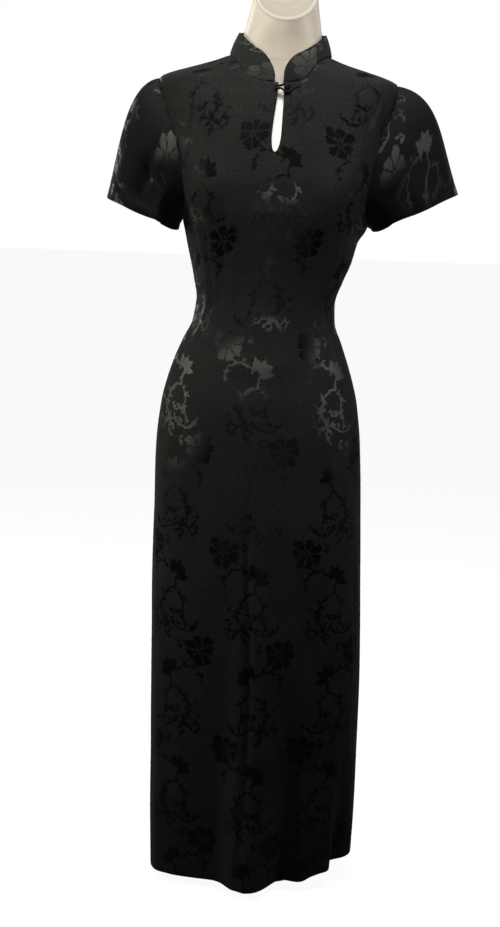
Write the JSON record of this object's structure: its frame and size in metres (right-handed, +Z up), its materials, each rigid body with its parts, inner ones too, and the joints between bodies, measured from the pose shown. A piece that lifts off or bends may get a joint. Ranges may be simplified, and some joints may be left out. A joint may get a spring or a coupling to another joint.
{
  "type": "maxi dress on a limbless dress form",
  "caption": "Straight ankle-length dress with a stand collar, keyhole neck and short flared sleeves, standing on a limbless dress form with a pole and flat base.",
  "frame": {"origin": "underside of the stand's base, below the middle of the dress", "axes": "+Z up, -Y the front of the dress, +X the wearer's left"},
  "size_m": [0.5754, 0.2525, 1.5687],
  "materials": {
    "jacquard": "black matte crepe ground with satin flower sprays of the same black",
    "knot_cloth": "black rolled cloth cord",
    "form_cover": "smooth cream cover over a rigid form",
    "form_cap": "smooth pale cream plate with a faint swirl and a lighter rim",
    "stand_steel": "satin steel"
  },
  "bodies": {
    "root": {"front_panel": "jacquard", "back_left": "jacquard", "back_right": "jacquard", "sleeve_left": "jacquard", "sleeve_right": "jacquard", "collar": "jacquard", "button": "knot_cloth", "button_tab": "knot_cloth", "button_loop": "knot_cloth", "form_torso": "form_cover", "form_neck_cap": "form_cap", "stand_pole": "stand_steel", "stand_socket": "stand_steel", "stand_base": "stand_steel"}
  },
  "joints": []
}
